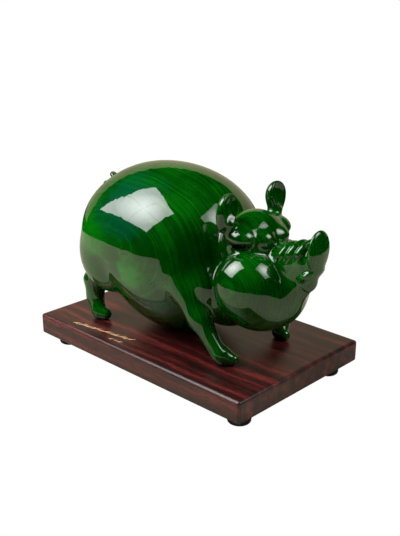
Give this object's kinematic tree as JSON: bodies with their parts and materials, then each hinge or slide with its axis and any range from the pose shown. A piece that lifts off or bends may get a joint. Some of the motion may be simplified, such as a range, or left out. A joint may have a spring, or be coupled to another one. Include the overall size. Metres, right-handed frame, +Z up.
{
  "type": "jade boar carving",
  "caption": "Rounded boar carved in polished green stone, standing on a flat rosewood plinth with rubber feet.",
  "frame": {"origin": "on the ground under the middle of the object's overall length and width, level with the undersides of the rubber feet", "axes": "+X towards the snout, +Y towards the boar's left side, +Z up"},
  "size_m": [0.295, 0.176, 0.1991],
  "materials": {
    "jade": "high polish",
    "rosewood": "satin lacquer",
    "rubber": "matte"
  },
  "bodies": {
    "root": {"boar_carving": "jade", "plinth": "rosewood", "rubber_foot_front_left": "rubber", "rubber_foot_front_right": "rubber", "rubber_foot_rear_left": "rubber", "rubber_foot_rear_right": "rubber"}
  },
  "joints": []
}
